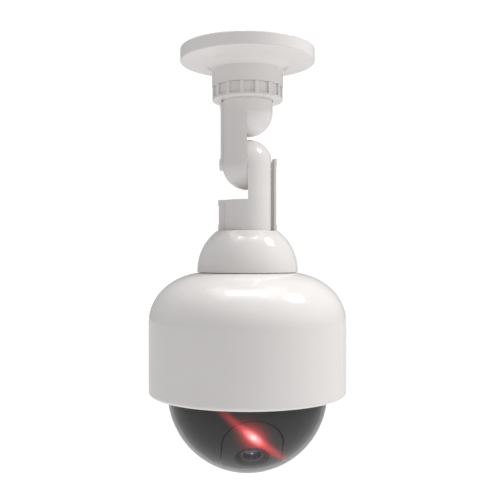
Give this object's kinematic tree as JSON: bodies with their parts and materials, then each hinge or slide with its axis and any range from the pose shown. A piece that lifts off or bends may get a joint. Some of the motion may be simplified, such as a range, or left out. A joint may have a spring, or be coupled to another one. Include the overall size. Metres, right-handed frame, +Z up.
{
  "type": "dome cctv camera",
  "caption": "Ceiling-hung white dome camera on a swivelling elbow arm, with a smoked dome over a panning and tilting lens module.",
  "frame": {"origin": "centre of the mounting flange's ceiling face", "axes": "+Z up into the ceiling along the swivel axis, -Y the front that the lens faces, +X to the right seen from the front"},
  "size_m": [0.11, 0.11, 0.2357],
  "materials": {
    "white_shell": "smooth glossy white moulding",
    "inner_plastic": "fine matt black moulding",
    "liner_plastic": "satin black moulding behind the dome",
    "face_plastic": "satin black camera face",
    "black_plastic": "matt black",
    "barrel_metal": "black anodised, fine turned",
    "dome_plastic": "smoke tinted clear polycarbonate",
    "lens_glass": "coated lens glass",
    "led_lamp": "lit red indicator lamp",
    "board_green": "solder mask",
    "screw_steel": "zinc plated steel",
    "spring_steel": "ground steel",
    "motor_can": "plain steel can",
    "sheet_aluminium": "brushed sheet",
    "brass_posts": "turned brass",
    "gear_plastic": "natural acetal",
    "bush_plastic": "natural nylon",
    "seal_rubber": "soft black"
  },
  "bodies": {
    "mount": {"ceiling_plate": "inner_plastic", "mounting_flange": "white_shell"},
    "nut_carrier": {"thrust_ring": "bush_plastic"},
    "lock_nut": {"lock_nut": "white_shell"},
    "upper_arm": {"upper_arm": "white_shell", "upper_arm_cover": "white_shell", "pivot_cap": "white_shell", "pivot_screw": "screw_steel", "friction_washer": "bush_plastic", "pivot_washer": "spring_steel", "pivot_nut": "screw_steel"},
    "head": {"lower_arm": "white_shell", "lower_arm_cover": "white_shell", "lower_arm_side_cover": "white_shell", "neck_cap": "white_shell", "neck_gasket": "seal_rubber", "neck_screws": "screw_steel", "housing": "white_shell", "dome_cover": "dome_plastic", "dome_gasket": "seal_rubber", "dome_ring": "white_shell", "dome_ring_screws": "screw_steel", "chassis_plate": "sheet_aluminium", "chassis_screws": "screw_steel", "main_board": "board_green", "board_chips": "black_plastic", "board_connector": "black_plastic", "board_standoffs": "brass_posts", "board_screws": "screw_steel", "pan_motor": "motor_can", "pan_motor_screws": "screw_steel", "pan_bearing_outer": "spring_steel", "pan_bearing_balls": "spring_steel"},
    "pan_drive": {"pan_pinion": "gear_plastic", "pan_motor_shaft": "spring_steel"},
    "pan_unit": {"pan_yoke": "inner_plastic", "pan_gear": "gear_plastic", "pan_bearing_inner": "spring_steel", "pan_clip": "spring_steel", "liner": "liner_plastic", "liner_screws": "screw_steel", "tilt_motor": "motor_can", "tilt_motor_screws": "screw_steel", "tilt_bushings": "bush_plastic"},
    "tilt_drive": {"tilt_pinion": "gear_plastic", "tilt_motor_shaft": "spring_steel"},
    "tilt_unit": {"camera_shell": "inner_plastic", "camera_face": "face_plastic", "lens_bezel": "black_plastic", "lens_barrel": "barrel_metal", "front_lens": "lens_glass", "rear_lens": "lens_glass", "lens_holder": "black_plastic", "sensor_board": "board_green", "image_sensor": "black_plastic", "sensor_screws": "screw_steel", "led": "led_lamp", "led_board": "board_green", "tilt_shafts": "spring_steel", "tilt_gear": "gear_plastic"}
  },
  "joints": [
    {"name": "lock_nut_travel", "type": "slide", "parent": "mount", "child": "nut_carrier", "axis": [0, 0, -1], "range_m": [0, 0.00067]},
    {"name": "lock_nut_turn", "type": "hinge", "parent": "nut_carrier", "child": "lock_nut", "pos_m": [0, 0, -0.025], "axis": [0, 0, -1], "range_deg": [0, 120]},
    {"name": "swivel", "type": "hinge", "parent": "mount", "child": "upper_arm", "pos_m": [0, 0, -0.0245], "axis": [0, 0, 1], "range_deg": [-180, 180]},
    {"name": "elbow", "type": "hinge", "parent": "upper_arm", "child": "head", "pos_m": [0, 0, -0.0647], "axis": [1, 0, 0], "range_deg": [-90, 90]},
    {"name": "pan", "type": "hinge", "parent": "head", "child": "pan_unit", "pos_m": [0, 0, -0.15], "axis": [0, 0, 1], "range_deg": [-170, 170]},
    {"name": "pan_motor_turn", "type": "hinge", "parent": "head", "child": "pan_drive", "pos_m": [-0.03, 0, -0.154], "axis": [0, 0, 1], "range_deg": [-700, 700]},
    {"name": "tilt", "type": "hinge", "parent": "pan_unit", "child": "tilt_unit", "pos_m": [0, 0, -0.1911], "axis": [0.9968, 0.0802, 0], "range_deg": [0, 48]},
    {"name": "tilt_motor_turn", "type": "hinge", "parent": "pan_unit", "child": "tilt_drive", "pos_m": [0.02661, 0.00214, -0.1731], "axis": [0.9968, 0.0802, 0], "range_deg": [-100, 2]}
  ],
  "couplings": [
    {"joint": "lock_nut_travel", "follows": "lock_nut_turn", "m_per_rad": 0.00031831},
    {"joint": "pan_motor_turn", "follows": "pan", "ratio": -4},
    {"joint": "tilt_motor_turn", "follows": "tilt", "ratio": -2}
  ]
}
